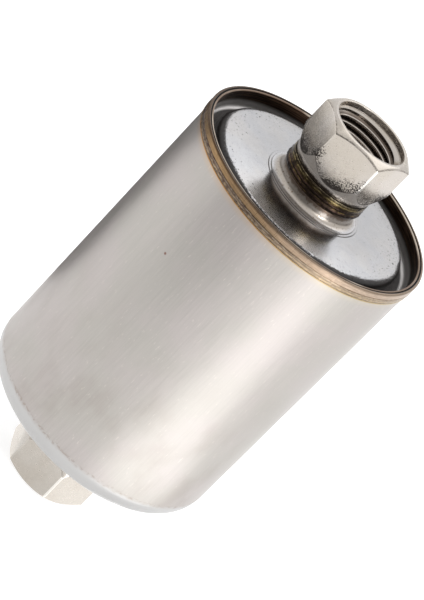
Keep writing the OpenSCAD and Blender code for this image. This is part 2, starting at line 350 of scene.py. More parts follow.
def rim_tint(look, steel, drop, wobble):
    """Heat colours of the seam weld over the top of the can: tan strips each side of a mottled track, all
    drawn out into thin lines round the can and strongest where the weld ends. Also a darker top edge, a
    painted highlight line on the track, and painted shade in the crevice by the cover."""
    near = look.maths("ADD", drop, look.maths("MULTIPLY", wobble, 0.25))
    place = look.maths("ADD", look.x, look.maths("MULTIPLY", look.noise(0.08), 24))
    warmth = look.ease(place, -6, 30, 1, 0)
    lines = look.noise((0.12, 0.12, 7.0), detail=3.0, rough=0.6)
    mottle = look.noise((0.9, 0.9, 4.0), detail=4.0, rough=0.65)
    tan = look.mix(warmth, rgb(178, 158, 140), rgb(152, 124, 90))
    tan = look.shade(look.shade(tan, lines, 0.7, 1.15), mottle, 0.82, 1.12)
    dark_track = look.mix(look.ease(mottle, 0.38, 0.62), rgb(80, 66, 60), rgb(136, 122, 108))
    pale_track = look.mix(look.ease(mottle, 0.38, 0.62), rgb(140, 125, 108), rgb(168, 152, 132))
    track = look.shade(look.mix(warmth, pale_track, dark_track), lines, 0.75, 1.2)
    gold = look.mix(warmth, rgb(176, 158, 124), rgb(172, 134, 90))
    straw = look.mix(0.35, steel, look.mix(warmth, rgb(196, 184, 160), rgb(196, 160, 118)))
    colour = look.mix(look.ease(near, 2.85, 4.6), straw, steel)
    colour = look.mix(look.ease(near, 2.78, 2.9), gold, colour)
    colour = look.mix(look.ease(near, 2.4, 2.55), track, colour)
    colour = look.mix(look.ease(near, 1.3, 1.45), tan, colour)
    for depth, half in ((1.38, 0.03), (1.82, 0.0), (2.5, 0.02), (2.88, 0.0)):
        dark = look.maths("MULTIPLY", look.band(near, depth, half, 0.1),
                          look.ease(lines, 0.2, 0.6, 0.4, 0.85))
        colour = look.mix(dark, colour, look.mix(warmth, rgb(136, 114, 90), rgb(66, 44, 34)))
    # Painted highlight: a thin pale line along the track.
    glint = look.maths("MULTIPLY", look.band(near, 2.14, 0.02, 0.08),
                       look.ease(mottle, 0.35, 0.6, 0.0, 0.7))
    colour = look.mix(glint, colour, rgb(190, 160, 112))
    # Darker along the can's top edge.
    edge = look.mix(warmth, rgb(128, 112, 96), rgb(62, 46, 36))
    colour = look.mix(look.ease(near, 0.5, 0.12, 0.0, 0.85), colour, edge)
    # Painted shade: near-black colour in the crevice between the can's top and the cover.
    crevice_shade = look.maths("MULTIPLY", look.band(look.r, COVER_R, 0.14, 0.12), look.ease(drop, 1.5, 0.9))
    return look.mix(crevice_shade, colour, rgb(22, 15, 12))


def rust_speck(look, steel):
    where = toward(SPECK_AZIMUTH, 0) * WALL_R + Vector((0, 0, RIM - SPECK_DROP))
    off = look.node("ShaderNodeVectorMath")
    off.operation = "DISTANCE"
    look.feed(off.inputs[0], look.place)
    off.inputs[1].default_value = where
    return look.mix(look.ease(off.outputs["Value"], 0.12, 0.42, 0.8, 0.0), steel, rgb(112, 62, 46))


def can_look():
    look = Surface("can_steel", Anisotropic=0.35)
    drop = look.maths("SUBTRACT", RIM, look.z)
    wobble = look.maths("SUBTRACT", look.noise(0.9, detail=3.0), 0.5)
    streaks = axial_streaks(look)
    blotch = look.noise(0.07, detail=3.0)
    steel = look.mix(look.ease(blotch, 0.35, 0.65), rgb(176, 172, 167), rgb(179, 173, 170))
    steel = look.shade(steel, streaks, 0.9, 1.07)
    scuff = look.noise((3.0, 3.0, 0.7), detail=2.0)
    steel = look.mix(look.ease(scuff, 0.66, 0.74, 0.0, 0.35), steel, rgb(214, 208, 200))
    smudge = look.ease(look.noise((0.16, 0.16, 0.1), detail=3.0), 0.4, 0.75)
    smudge = look.maths("MULTIPLY", smudge, look.ease(drop, 25, 60))
    steel = look.mix(look.maths("MULTIPLY", smudge, 0.25), steel, rgb(138, 126, 118))

    # Smooth pressed corner below the drawn wall, with a faint broken brown line between them
    corner_z = CAN_LOW + CORNER_TOP
    edge = look.maths("ADD", look.z, look.maths("MULTIPLY", wobble, 1.2))
    smooth = look.ease(edge, corner_z - 1.0, corner_z + 0.4, 1.0, 0.0)
    steel = look.mix(smooth, steel, look.shade(rgb(185, 184, 183), blotch, 0.96, 1.02))
    line = look.maths("MULTIPLY", look.band(edge, corner_z, 0.0, 0.55),
                      look.ease(look.noise((1.3, 1.3, 2.5), detail=3.0), 0.45, 0.62))
    steel = look.mix(look.maths("MULTIPLY", line, 0.38), steel, rgb(128, 110, 94))
    colour = rim_tint(look, rust_speck(look, steel), drop, wobble)

    rough = look.ease(streaks, 0.3, 0.7, 0.33, 0.44)
    rough = look.maths("ADD", rough, look.maths("MULTIPLY", smooth, -0.06))
    rough = look.maths("ADD", rough, look.ease(drop, 2.9, 2.7, 0.0, -0.08))
    on_wall = look.maths("MULTIPLY", look.ease(drop, 2.8, 3.4), look.maths("SUBTRACT", 1.0, smooth))
    normal = look.bump(look.maths("MULTIPLY", streaks, on_wall), 0.014)
    on_track = look.maths("MULTIPLY", look.band(drop, 1.95, 0.45, 0.1),
                          look.noise((1.8, 1.8, 2.6), detail=3.0))
    normal = look.bump(on_track, 0.05, normal)
    return look.done(colour, rough, normal)


def collar_foot(look, steel):
    """Dark lines at the two steps, a painted shade strongest on the front side, then pale stain and brown
    flecks up to the weld.
    """
    near = look.maths("ADD", look.r, look.maths("MULTIPLY", look.noise(0.8, detail=3.0), 0.6))
    steel = look.mix(look.ease(near, 10.9, 9.7, 0.0, 0.65), steel, rgb(178, 165, 148))
    # Painted shade: dark lines at the two steps, fading away from the front (-y) side.
    in_front = look.ease(look.y, -4.0, 1.0, 0.8, 0.05)
    for at in (STEPS_R, STEPS_R - STEP_GAP):
        line = look.maths("MULTIPLY", look.band(look.r, at + 0.03, 0.05, 0.13), in_front)
        steel = look.mix(line, steel, rgb(60, 52, 48))
    flecks = look.maths("MULTIPLY", look.ease(look.noise(2.8, detail=2.0), 0.62, 0.66),
                        look.ease(look.r, 11.4, 10.4))
    steel = look.mix(look.maths("MULTIPLY", flecks, 0.7), steel, rgb(96, 68, 42))
    return steel


def shoulder_soot(look, grain):
    """Share of sooty grain over the rounded shoulder and down the trough's inner wall."""
    soot_share = look.maths("ADD", look.maths("MULTIPLY", look.ease(look.r, 21.5, 23.3), 0.48), grain)
    soot_share = look.maths("ADD", soot_share, look.ease(look.noise(0.14), 0.35, 0.7, -0.08, 0.06))
    return look.maths("MULTIPLY", look.ease(soot_share, 0.66, 0.76), look.ease(look.r, 21.3, 21.8))


def flange_tint(look, steel, drop):
    """Trough and flange, browned by the seam weld at the rim, the brown deepened to near black down the
    flange wall as painted shade, and painted shade in the crevice by the can.
    """
    lines = look.noise((0.15, 0.15, 6.0), detail=3.0)
    # Brown from the weld, partly painted shade: its near-black lines stand in for the trough's shadow on
    # the flange wall.
    brown = look.mix(look.ease(lines, 0.4, 0.62), rgb(28, 20, 17), rgb(88, 68, 54))
    low = look.mix(look.ease(drop, 2.2, 3.3), brown, rgb(214, 211, 209))
    flange = look.ease(look.r, FLANGE_IN_R - 1.0, FLANGE_IN_R - 0.4)
    steel = look.mix(flange, steel, low)
    lip = look.ease(drop, 0.34, 0.16)
    tan = look.mix(look.ease(look.noise(0.08), 0.4, 0.6), rgb(120, 102, 88), rgb(178, 166, 152))
    steel = look.mix(look.maths("MULTIPLY", lip, flange), steel, tan)
    # Painted shade: near-black colour in the crevice between the flange and the can.
    crevice_shade = look.maths("MULTIPLY", look.band(look.r, COVER_R, 0.14, 0.12), flange)
    steel = look.mix(crevice_shade, steel, rgb(22, 15, 12))
    return steel


def cover_look():
    look = Surface("cover_steel")
    drop = look.maths("SUBTRACT", RIM, look.z)
    grain = look.noise(3.4, detail=4.0, rough=0.75)
    smear = look.noise(0.12, detail=3.0)
    steel = look.mix(look.ease(smear, 0.35, 0.65), rgb(188, 188, 191), rgb(192, 190, 190))
    steel = look.shade(steel, look.noise(0.5, detail=3.0), 0.97, 1.02)

    # Dark specks, thicker towards the disc's edge
    reach = look.ease(look.r, 15.0, 23.0, 0.74, 0.66)
    speck = look.ease(look.maths("SUBTRACT", look.noise(2.1, detail=1.0), reach), 0.0, 0.02)
    steel = look.mix(look.maths("MULTIPLY", speck, 0.8), steel, rgb(52, 46, 42))

    steel = collar_foot(look, steel)
    soot = shoulder_soot(look, grain)
    steel = look.mix(look.maths("MULTIPLY", soot, 0.92), steel, rgb(30, 25, 22))
    steel = flange_tint(look, steel, drop)

    # Collar, tinted next to the port's weld
    climb = look.maths("SUBTRACT", look.z, RIM - DISC_DROP)
    warm = look.ease(look.maths("ADD", climb, look.noise(1.5)), 2.2, 3.0)
    steel = look.mix(look.maths("MULTIPLY", warm, 0.8), steel, rgb(88, 68, 52))

    rough = look.ease(look.noise(0.6, detail=3.0), 0.3, 0.7, 0.0, 0.03)
    rough = look.maths("ADD", rough, look.ease(look.r, 14.0, 19.0, 0.16, 0.22))
    rough = look.maths("ADD", rough, look.ease(look.r, 11.2, 10.5, 0.0, 0.14))
    rough = look.maths("ADD", rough, look.ease(look.r, 22.6, 23.4, 0.0, -0.09))
    rough = look.maths("ADD", rough, look.maths("MULTIPLY", soot, 0.3))
    normal = look.bump(look.noise(1.4, detail=3.0), 0.003)
    normal = look.bump(look.maths("MULTIPLY", grain, soot), 0.04, normal)
    return look.done(steel, rough, normal)


HEX_BEVEL_Z = 2.6
HEX_BEVEL_SLOPE = (HEX_CORNER_R - HEX_HALF) / 3.1
END_SLOPE = 1 / math.tan(math.radians(32))
END_R = HEX_HALF - 0.3 * END_SLOPE


def neck_tint(look, nickel, up):
    """Heat tint up the neck, from the weld."""
    wobble = look.maths("MULTIPLY", look.maths("SUBTRACT", look.noise(1.1, detail=3.0), 0.5), 0.35)
    level = look.maths("DIVIDE", look.maths("ADD", up, wobble), 2.5)
    tint = look.ramp(level, (0.0, rgb(62, 48, 42)), (0.08, rgb(116, 96, 60)), (0.16, rgb(44, 34, 26)),
                     (0.24, rgb(176, 158, 112)), (0.36, rgb(108, 92, 62)), (0.46, rgb(192, 178, 146)),
                     (0.55, rgb(48, 40, 34)), (0.66, rgb(168, 156, 138)), (0.72, rgb(64, 54, 46)),
                     (0.78, rgb(204, 195, 182)))
    blot = look.ease(look.noise((0.3, 0.3, 1.1), detail=4.0, rough=0.65), 0.44, 0.56, 0.0, 0.85)
    tint = look.mix(blot, tint, rgb(46, 36, 30))
    tint = look.shade(tint, look.noise(2.8, detail=4.0, rough=0.7), 0.45, 1.25)
    on_neck = look.maths("MULTIPLY", look.ease(look.r, SHANK_R + 0.1, SHANK_R + 0.3),
                         look.ease(look.r, NECK_R + 0.03, NECK_R + 0.06, 1.0, 0.0))
    on_neck = look.maths("MULTIPLY", on_neck, look.ease(level, 0.8, 0.95, 1.0, 0.0))
    return look.mix(on_neck, nickel, tint)


def thread_tint(look, nickel, up):
    """Thinner plating in the thread, and darker grey grooves that are partly bare steel and partly painted
    shade.
    """
    in_bore = look.ease(look.r, SHANK_R - 0.1, SHANK_R - 0.2)
    in_bore = look.maths("MULTIPLY", in_bore, look.ease(up, PORT_LEN - 1.8, PORT_LEN - 2.6))
    # Painted shade, with bare steel: the thread's grooves darker than their crests.
    groove = look.ease(look.r, THREAD_CREST_R + 0.06, THREAD_CREST_R + 0.25)
    bare_steel_and_shade = look.mix(groove, rgb(196, 188, 180), rgb(96, 86, 78))
    return look.mix(in_bore, nickel, bare_steel_and_shade)


def port_look(name, base_z, upward, pale, dark, soot):
    """Satin nickel, between two colours, of a port whose weld face is at base_z and whose end faces up or
    down. Soot, from 0 to 1, is how strong the painted shade is: dark grain at the flats' lower ends
    standing in for a dark reflection, and the dark line at the chamfer."""
    look = Surface(name)
    up = look.maths("MULTIPLY", look.maths("SUBTRACT", look.z, base_z), upward)
    peel = look.noise(1.3, detail=3.0)
    nickel = look.mix(look.ease(look.noise(0.16, detail=2.0), 0.35, 0.65), dark, pale)
    nickel = look.shade(nickel, peel, 0.96, 1.02)
    # Painted highlight: a pale colour along the hexagon's rounded edges, stronger towards +x.
    edge = look.maths("MULTIPLY", look.ease(look.r, HEX_CORNER_R - 0.2, HEX_CORNER_R - 0.12),
                      look.ease(look.x, -4.0, 4.0, 0.1, 0.85))
    nickel = look.mix(edge, nickel, rgb(242, 238, 232))

    # Painted shade: dark grain at the lower end of each flat, thinning out upwards, and a thin line below
    # it
    above = look.maths("SUBTRACT", look.maths("SUBTRACT", up, HEX_BEVEL_Z),
                       look.maths("DIVIDE", look.maths("SUBTRACT", look.r, HEX_HALF), HEX_BEVEL_SLOPE))
    grain = look.noise(3.6, detail=4.0, rough=0.75)
    patch = look.noise(0.2, detail=1.0)
    cover = look.maths("SUBTRACT", grain, look.maths("MULTIPLY", above, 0.075))
    cover = look.maths("ADD", cover, look.ease(patch, 0.35, 0.65, -0.08, 0.08))
    shade_grain = look.maths("MULTIPLY", look.ease(above, 0.0, 0.2), look.ease(cover, 0.38, 0.46))
    outline = look.maths("MULTIPLY", look.band(above, 0.12, 0.04, 0.12),
                         look.ease(grain, 0.3, 0.5, 0.3, 0.9))
    shade_grain = look.maths("MAXIMUM", shade_grain, outline)
    outside = look.ease(look.r, HEX_HALF - 0.05, HEX_HALF)
    shade_grain = look.maths("MULTIPLY", look.maths("MULTIPLY", shade_grain, outside), soot)
    nickel = look.mix(look.maths("MULTIPLY", shade_grain, 0.93), nickel, rgb(34, 28, 26))

    # Dark line where the flats meet the chamfer at the port's end
    fall = look.maths("DIVIDE", look.maths("SUBTRACT", look.r, END_R), END_SLOPE)
    to_chamfer = look.maths("SUBTRACT", look.maths("SUBTRACT", PORT_LEN, up), fall)
    chamfer_line = look.maths("MULTIPLY", look.band(to_chamfer, 0.12, 0.02, 0.12), look.ease(grain, 0.4, 0.6))
    chamfer_line = look.maths("MULTIPLY", look.maths("MULTIPLY", chamfer_line, outside), soot)
    nickel = look.mix(look.maths("MULTIPLY", chamfer_line, 0.75), nickel, rgb(66, 54, 44))

    nickel = neck_tint(look, nickel, up)
    nickel = thread_tint(look, nickel, up)

    rough = look.ease(peel, 0.3, 0.7, 0.2, 0.28)
    rough = look.maths("ADD", rough, look.maths("MULTIPLY", shade_grain, 0.3))
    normal = look.bump(peel, 0.006)
    normal = look.bump(look.maths("MULTIPLY", grain, shade_grain), 0.05, normal)
    return look.done(nickel, rough, normal)


def weld_look():
    look = Surface("weld")
    wobble = look.maths("MULTIPLY", look.maths("SUBTRACT", look.noise(1.0, detail=3.0), 0.5), 0.5)
    phase = look.maths("FRACT", look.maths("ADD", look.maths("MULTIPLY", look.z, 1.3), wobble))
    colour = look.ramp(phase, (0.0, rgb(44, 35, 30)), (0.3, rgb(82, 64, 54)), (0.42, rgb(54, 45, 46)),
                       (0.55, rgb(122, 102, 62)), (0.66, rgb(48, 37, 29)), (1.0, rgb(44, 35, 30)))
    blot = look.ease(look.noise((0.3, 0.3, 1.1), detail=4.0, rough=0.65), 0.44, 0.56, 0.0, 0.85)
    colour = look.mix(blot, colour, rgb(34, 27, 24))
    colour = look.shade(colour, look.noise(2.6, detail=4.0, rough=0.7), 0.5, 1.4)
    rough = look.ease(look.noise(2.0, detail=2.0), 0.3, 0.7, 0.25, 0.42)
    normal = look.bump(look.noise(2.4, detail=4.0, rough=0.6), 0.04)
    return look.done(colour, rough, normal)


def plain_look(name, colours, metallic=1.0, rough=(0.25, 0.4), per_mm=0.6, bump=0.01):
    """Mottled finish between two colours, with matching roughness and bump."""
    look = Surface(name, metallic=metallic)
    patch = look.noise(per_mm, detail=3.0)
    fine = look.noise(per_mm * 7, detail=3.0, rough=0.6)
    colour = look.mix(look.ease(patch, 0.35, 0.65), colours[0], colours[1])
    colour = look.shade(colour, fine, 0.92, 1.06)
    return look.done(colour, look.ease(fine, 0.3, 0.7, *rough), look.bump(fine, bump))


CAN_STEEL = can_look()
COVER_STEEL = cover_look()
OUTLET_NICKEL = port_look("outlet_nickel", OUT_WELD_TOP, 1.0, rgb(196, 189, 182), rgb(192, 184, 174), 1.0)
# Painted shade: the inlet's nickel is a slightly darker copy of the outlet's.
INLET_NICKEL = port_look("inlet_nickel", IN_WELD_LOW, -1.0, rgb(193, 187, 179), rgb(188, 181, 172), 0.0)
WELD = weld_look()
RUBBER = plain_look("seal_rubber", (rgb(34, 34, 36), rgb(46, 45, 45)), metallic=0.0, rough=(0.55, 0.7))
CAP_STEEL = plain_look("cap_steel", (rgb(196, 172, 96), rgb(180, 176, 118)), rough=(0.28, 0.4), per_mm=0.15)
RESIN = plain_look("resin", (rgb(196, 112, 42), rgb(170, 88, 30)), metallic=0.0, rough=(0.2, 0.35),
                   per_mm=0.2)
PAPER_LOOK = plain_look("filter_paper", (rgb(214, 186, 128), rgb(202, 170, 112)), metallic=0.0,
                        rough=(0.8, 0.9), per_mm=0.5, bump=0.04)
CLIP_STEEL = plain_look("clip_steel", (rgb(198, 198, 198), rgb(180, 180, 182)), rough=(0.2, 0.3))
TUBE_STEEL = plain_look("tube_steel", (rgb(172, 172, 170), rgb(158, 156, 152)), rough=(0.3, 0.42))
SPRING_STEEL = plain_look("spring_steel", (rgb(150, 150, 154), rgb(132, 132, 138)), rough=(0.22, 0.34))


# ---- Housing ----

def make_can():
    floor_z = CAN_LOW + CAN_COLLAR_H
    body = [
        (SHANK_R, CAN_LOW, 0), (COLLAR_R, CAN_LOW, 0.2), (COLLAR_R, floor_z, 2.1), (WALL_R, floor_z, 5),
        (WALL_R, RIM - 2.92, 0.12), (BAND_R - 0.06, RIM - 2.84, 0.06),
        (BAND_R - 0.04, RIM - 2.58, 0.03), (BAND_R - 0.12, RIM - 2.53, 0.02),
        (BAND_R - 0.05, RIM - 2.47, 0.03),
        (BAND_R, RIM - 2.2, 0.3), (BAND_R, RIM - 1.7, 0.3),
        (BAND_R - 0.05, RIM - 1.43, 0.03), (BAND_R - 0.11, RIM - 1.38, 0.02),
        (BAND_R - 0.04, RIM - 1.33, 0.03),
        (BAND_R - 0.03, RIM, 0.25), (COVER_R + 0.02, RIM, 0.22),
        (COVER_R + 0.02, RIM - 2.9, 0), (WALL_R - SHEET, RIM - 3.0, 0.1),
        (WALL_R - SHEET, floor_z + SHEET, 4.3), (SHANK_R, floor_z + SHEET, 0),
    ]
    turned("can_shell", body, "housing", ["housing_can"], CAN_STEEL, segments=256, steps=6)


def make_cover():
    disc_z = RIM - DISC_DROP
    trough_z = RIM - TROUGH_DROP
    under_z = disc_z - COVER_SHEET
    body = [
        (SHANK_R, COLLAR_TOP, 0), (COLLAR_R, COLLAR_TOP, 0.25), (COLLAR_R, disc_z + 2 * STEP, 1.4),
        (STEPS_R - STEP_GAP, disc_z + 2 * STEP, 0.06),
        (STEPS_R - STEP_GAP + 0.03, disc_z + STEP, 0.06),
        (STEPS_R, disc_z + STEP, 0.06), (STEPS_R + 0.03, disc_z, 0.06),
        (TROUGH_IN_R, disc_z, 1.6), (TROUGH_IN_R, trough_z, 1.1), (FLANGE_IN_R, trough_z, 1.1),
        (FLANGE_IN_R, RIM - 0.06, 0.2), (COVER_R - 0.02, RIM - 0.06, 0.25),
        (COVER_R - 0.02, RIM - 2.9, 0.05), (WALL_R - SHEET - 0.05, RIM - 3.1, 0.05),
        (WALL_R - SHEET - 0.05, COVER_LOW, 1.5), (TROUGH_IN_R - COVER_SHEET, COVER_LOW, 0.5),
        (TROUGH_IN_R - COVER_SHEET, under_z, 1.0), (SHANK_R, under_z, 0),
    ]
    turned("cover_pressing", body, "housing", ["end_cover"], COVER_STEEL,
           segments=256, steps=7)


def hex_side(angle):
    """Distance from the axis to the hexagon's side at an angle, its six edges rounded."""
    edge_r = 0.45
    step = math.radians(60)
    from_flat = angle % step - step / 2
    from_edge = step / 2 - abs(from_flat)
    if abs(HEX_HALF * math.tan(from_flat)) < (HEX_HALF - edge_r) * math.tan(step / 2):
        return HEX_HALF / math.cos(from_flat)
    centre = (HEX_HALF - edge_r) / math.cos(step / 2)
    return centre * math.cos(from_edge) + math.sqrt(edge_r ** 2 - (centre * math.sin(from_edge)) ** 2)


def hex_angles():
    """Angles round a port, closer together over the hexagon's rounded edges."""
    edge = math.radians(1.6)
    side = math.radians(60)
    angles = []
    for k in range(6):
        angles += [k * side + edge * (i / 4 - 1) for i in range(8)]
        angles += [k * side + edge + (side - 2 * edge) * i / 20 for i in range(20)]
    return sorted(a % (2 * math.pi) for a in angles)


def port_profile(angle, tail, spigot):
    """Outline of a port at an angle, from the foot of its thread, round the outside, to the
    thread's mouth. The weld face is at height 0."""
    side = hex_side(angle)
    bevel_z = HEX_BEVEL_Z + (side - HEX_HALF) / HEX_BEVEL_SLOPE
    cone_foot = (NECK_R - 0.05, HEX_BEVEL_Z - (HEX_HALF - NECK_R + 0.05) / HEX_BEVEL_SLOPE, 0)
    tip = [(6.5, -tail - spigot, 0.4), (6.5, -tail, 0.15)] if spigot else []
    return rounded([
        (THREAD_CREST_R, PORT_LEN - TAPPED_DEPTH, 0), (PASSAGE_R, PORT_LEN - TAPPED_DEPTH - 1.5, 0.3),
        (PASSAGE_R, -tail - spigot, 0.2), *tip, (SHANK_R, -tail, 0.3), (SHANK_R, 0, 0),
        (NECK_R, 0, 0.12), (NECK_R, 1.33, 0.08), (NECK_R - 0.3, 1.38, 0.04),
        (NECK_R - 0.3, 1.72, 0.04), (NECK_R, 1.77, 0.12), cone_foot,
        (side, bevel_z, 0.3), (side, PORT_LEN - (side - END_R) / END_SLOPE, 0.7),
        (END_R, PORT_LEN, 0.4), (ENTRY_R + 0.05, PORT_LEN, 0.15),
        (ENTRY_R + 0.05, PORT_LEN - ENTRY_DEPTH, 0.06), (ENTRY_R - 0.2, PORT_LEN - ENTRY_DEPTH - 0.05, 0),
    ], steps=4, closed=False)


def thread_rings(angles):
    """Rings of a right-handed internal thread, cut off by its run-in cone and its foot."""
    low = PORT_LEN - TAPPED_DEPTH
    high = PORT_LEN - ENTRY_DEPTH - 0.05
    mouth_r = ENTRY_R - 0.2
    cone = (mouth_r - THREAD_CREST_R) / 1.05
    shape = [(-0.10, 0), (0.10, 0), (0.135, 0.05), (0.43, 0.95),
             (0.45, 1), (0.55, 1), (0.57, 0.95), (0.865, 0.05)]
    turns = math.ceil((high - low) / THREAD_PITCH) + 2
    rings = []
    for turn in range(turns):
        for phase, share in shape:
            ring = []
            for a in angles:
                z = low + THREAD_PITCH * (turn - 1 + phase + a / (2 * math.pi))
                fade = min(max((z - low) / 1.5, 0), 1)
                r = THREAD_CREST_R + (THREAD_ROOT_R - THREAD_CREST_R) * share * fade
                r = max(r, mouth_r - (high - z) * cone)
                if z <= low:
                    r, z = THREAD_CREST_R, low
                if z >= high:
                    r, z = mouth_r, high
                ring.append((r * math.cos(a), r * math.sin(a), z))
            rings.append(ring)
    return rings, len(shape)


def make_port(name, node, tail, spigot, place, material):
    angles = hex_angles()
    profiles = [port_profile(a, tail, spigot) for a in angles]
    rings = [[(p[i].x * math.cos(a), p[i].x * math.sin(a), p[i].y) for a, p in zip(angles, profiles)]
             for i in range(len(profiles[0]))]
    mesh = bmesh.new()
    add_rings(mesh, rings)
    thread, climb = thread_rings(angles)
    add_rings(mesh, thread, climb=climb)
    mesh.transform(place)
    finish_piece(mesh, name, "housing", [node], material, crease=32, weld=0.002)


def weld_bead(name, node, low, high, upward):
    """Two rippled beads, one above the other, round the joint between a port and its collar."""
    angles = even_angles(240)
    height = high - low
    outline = rounded([
        (SHANK_R + 0.1, 0, 0), (NECK_R - 0.1, 0, 0), (WELD_R + 0.05, 0.35 * height, 0.5),
        (NECK_R - 0.15, 0.68 * height, 0.06), (WELD_R, 0.84 * height, 0.2), (NECK_R - 0.05, height, 0),
        (SHANK_R + 0.1, height, 0),
    ], steps=6)
    rings = []
    for r, z in outline:
        outer = max(0, r - NECK_R + 0.2) / 0.3
        ring = []
        for a in angles:
            ripple = 0.02 * outer * (math.sin(44 * a + 3 * z) + 0.5 * math.sin(31 * a))
            level = low + z if upward else high - z
            reach = r - 0.03 * outer + ripple
            ring.append((reach * math.cos(a), reach * math.sin(a), level))
        rings.append(ring)
    mesh = bmesh.new()
    add_rings(mesh, rings, closed=True)
    finish_piece(mesh, name, "housing", [node], WELD, crease=50)


def make_housing():
    make_can()
    make_cover()
    cover_under_z = RIM - DISC_DROP - COVER_SHEET
    outlet_tail = OUT_WELD_TOP - cover_under_z
    make_port("outlet_port_body", "outlet_fitting", outlet_tail, cover_under_z - SPIGOT_LOW,
              Matrix.Translation((0, 0, OUT_WELD_TOP * MM)), OUTLET_NICKEL)
    turned_over = Matrix.Rotation(INLET_TURN, 4, "Z") @ Matrix.Rotation(math.pi, 4, "X")
    make_port("inlet_port_body", "inlet_fitting", INLET_IN - IN_WELD_LOW, 0,
              Matrix.Translation((0, 0, IN_WELD_LOW * MM)) @ turned_over, INLET_NICKEL)
    weld_bead("outlet_weld_bead", "outlet_weld_ring", OUT_WELD_LOW, OUT_WELD_TOP, True)
    weld_bead("inlet_weld_bead", "inlet_weld_ring", IN_WELD_LOW, IN_WELD_TOP, False)


# ---- Cartridge ----

PLEATS = 40
PAPER = 0.45
FOLD_R = 0.375
PLEAT_IN_R = 10.0
TUBE_IN_R = TUBE_R - 0.5
TUBE_HOLE_R = 1.6
TUBE_ROWS = 9
TUBE_COLUMNS = 6
WIRE_R = 0.75
SPRING_MEAN_R = SPRING_R - WIRE_R
SPRING_TURNS = 4.5


def make_caps():
    rim = UP_CAP_TOP - 5.3
    turned("upper_cap_pressing", [
        (TUBE_IN_R, UP_CAP_TOP, 0.15), (CAP_R, UP_CAP_TOP, 1.0), (CAP_R, rim, 0.1),
        (CAP_R - 0.5, rim, 0.1), (CAP_R - 0.5, UP_CAP_TOP - 0.5, 0.5),
        (TUBE_IN_R, UP_CAP_TOP - 0.5, 0.1),
    ], "cartridge", ["upper_end_cap"], CAP_STEEL)
    turned("lower_cap_pressing", [
        (0.02, LOW_CAP_LOW, 0), (CAP_R, LOW_CAP_LOW, 1.0), (CAP_R, LOW_CAP_TOP, 0.1),
        (CAP_R - 0.5, LOW_CAP_TOP, 0.1), (CAP_R - 0.5, LOW_CAP_LOW + 0.5, 0.5),
        (0.02, LOW_CAP_LOW + 0.5, 0),
    ], "cartridge", ["lower_end_cap"], CAP_STEEL)
    for name, node, low, high in (("upper_resin", "upper_potting", UP_RESIN_LOW, UP_RESIN_TOP),
                                  ("lower_resin", "lower_potting", LOW_RESIN_LOW, LOW_RESIN_TOP)):
        turned(name, [(TUBE_R, low, 0.1), (RESIN_R, low, 0.3), (RESIN_R, high, 0.3), (TUBE_R, high, 0.1)],
               "cartridge", [node], RESIN)


def make_seal():
    turned("seal_bush", [
        (SEAL_BORE_R, SEAL_LOW, 0.3), (TUBE_IN_R, SEAL_LOW, 0.5), (TUBE_IN_R, UP_CAP_TOP, 0.05),
        (SEAL_R, UP_CAP_TOP, 0.3), (SEAL_R, SEAL_TOP - 0.8, 0.3), (SEAL_R - 0.8, SEAL_TOP, 0.3),
        (SEAL_BORE_R, SEAL_TOP, 0.4),
    ], "cartridge", ["outlet_seal"], RUBBER)


def pleat_line():
    """Centre line of the folded paper, seen along the axis: (x, y) and the way across the paper."""
    tip_r = PLEAT_OUT_R - PAPER / 2 - FOLD_R
    valley_r = PLEAT_IN_R + PAPER / 2 + FOLD_R
    line = []
    for k in range(PLEATS):
        for middle, outwards, at in ((tip_r, 1, 2 * k), (valley_r, -1, 2 * k + 1)):
            a = math.pi * at / PLEATS
            out = Vector((math.cos(a), math.sin(a)))
            side = Vector((-out.y, out.x))
            for i in range(7):
                sweep = math.pi * (i / 6 - 0.5)
                across = (out * math.cos(sweep) * outwards + side * math.sin(sweep)) * outwards
                turn = out * outwards * math.cos(sweep) + side * math.sin(sweep)
                line.append((out * middle + turn * FOLD_R, across))
    return line


def make_paper():
    low, high = PAPER_LOW, PAPER_TOP
    inner, outer = [], []
    for point, across in pleat_line():
        inner.append(point - across * PAPER / 2)
        outer.append(point + across * PAPER / 2)
    rings = [[(p.x, p.y, z) for p in edge] for edge, z in
             ((outer, low), (outer, high), (inner, high), (inner, low))]
    mesh = bmesh.new()
    add_rings(mesh, rings, closed=True)
    finish_piece(mesh, "pleated_paper", "cartridge", ["filter_media"], PAPER_LOOK,
                 crease=50)


def tube_cell(middle_a, middle_z, half_a, half_z):
    """Rings of (angle, height) points from a cell's four sides in to the round hole in it."""
    sides = 6
    edge = []
    for i in range(4 * sides):
        side, along = divmod(i, sides)
        share = 2 * along / sides - 1
        edge.append([(share, -1), (1, share), (-share, 1), (-1, -share)][side])
    rings = []
    for inward in (0.0, 0.5, 0.85, 1.0):
        ring = []
        for across, up in edge:
            a, z = across * half_a, up * half_z
            turn = math.atan2(z, a * TUBE_R)
            hole = Vector((math.cos(turn) * TUBE_HOLE_R / TUBE_R, math.sin(turn) * TUBE_HOLE_R))
            ring.append((middle_a + a + (hole.x - a) * inward, middle_z + z + (hole.y - z) * inward))
        rings.append(ring)
    return rings


